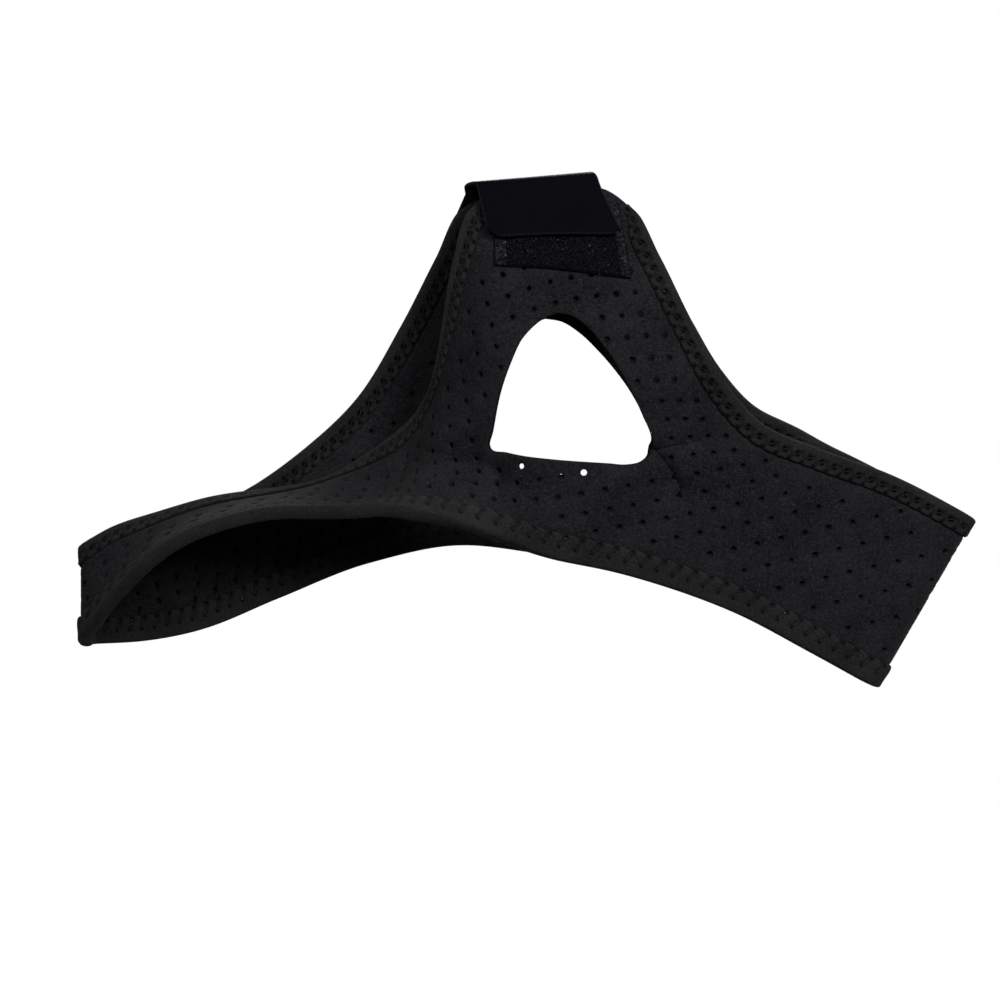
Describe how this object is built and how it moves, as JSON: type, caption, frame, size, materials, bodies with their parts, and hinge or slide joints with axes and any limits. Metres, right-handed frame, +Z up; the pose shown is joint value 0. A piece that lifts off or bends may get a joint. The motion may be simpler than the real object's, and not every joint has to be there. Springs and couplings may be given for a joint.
{
  "type": "anti-snore chin strap",
  "caption": "Soft black head strap of perforated foam that runs under the chin, round the nape and over the crown, with ear openings, bound edges and a hook-and-loop crown closure.",
  "frame": {"origin": "crown seat, in the middle between the two panels where the strap sits on top of the head", "axes": "+X from the nape to the chin, +Y to the wearer's left, +Z up"},
  "size_m": [0.3354, 0.0706, 0.1917],
  "materials": {
    "foam_panel": "matte knit over perforated foam",
    "binding_tape": "matte knit tape with zigzag stitching",
    "loop_pile": "fuzzy loop pile",
    "hook_tab": "smooth satin back of hook tape"
  },
  "bodies": {
    "root": {"right_panel": "foam_panel", "left_panel": "foam_panel", "jaw_binding": "binding_tape", "face_binding": "binding_tape", "nape_binding": "binding_tape", "loop_patch": "loop_pile", "crown_tab": "hook_tab"}
  },
  "joints": []
}
